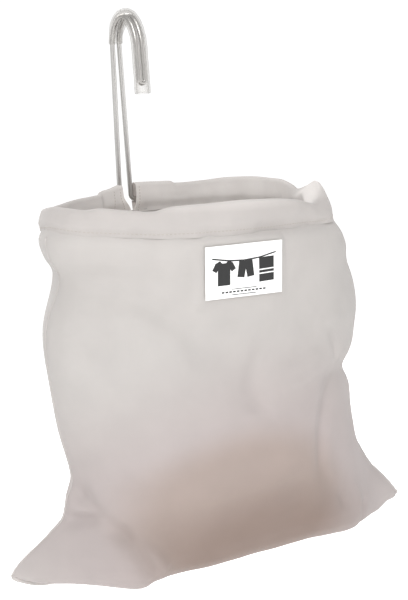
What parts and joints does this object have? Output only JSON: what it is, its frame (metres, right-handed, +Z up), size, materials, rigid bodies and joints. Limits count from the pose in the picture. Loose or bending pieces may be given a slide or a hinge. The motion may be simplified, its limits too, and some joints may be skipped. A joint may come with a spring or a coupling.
{
  "type": "mesh laundry bag",
  "caption": "Open-topped cloth bag hung on one bent wire, with a sleeved over-rail crook and an oval hoop in the hem, for pegs or small washing.",
  "frame": {"origin": "hang point: the top of the inside of the sleeved crook, where it rests on a rail or line", "axes": "+Z up, -Y the front with the label, +X to the right seen from the front"},
  "size_m": [0.3446, 0.1548, 0.4336],
  "materials": {
    "wire": "bright plated steel wire",
    "clear_sleeve": "soft clear tube, slightly cloudy",
    "hem_cloth": "fine off-white mesh cloth, folded double",
    "panel_cloth": "fine translucent off-white mesh cloth",
    "seam_cloth": "the same cloth, several layers sewn together",
    "label_cloth": "smooth white woven label"
  },
  "bodies": {
    "hanger": {"wire_frame": "wire", "crook_sleeve": "clear_sleeve", "front_hem_casing": "hem_cloth", "back_hem_casing_left": "hem_cloth", "back_hem_casing_right": "hem_cloth"},
    "bag": {"front_panel": "panel_cloth", "back_panel": "panel_cloth", "side_seam_left": "seam_cloth", "side_seam_right": "seam_cloth", "bottom_seam": "seam_cloth", "label": "label_cloth"}
  },
  "joints": [
    {"name": "bag_twist", "type": "hinge", "parent": "hanger", "child": "bag", "pos_m": [0, -0.0573, -0.1511], "axis": [0, 0, 1], "range_deg": [-15, 15], "stiffness_Nm_per_rad": 0.02}
  ]
}
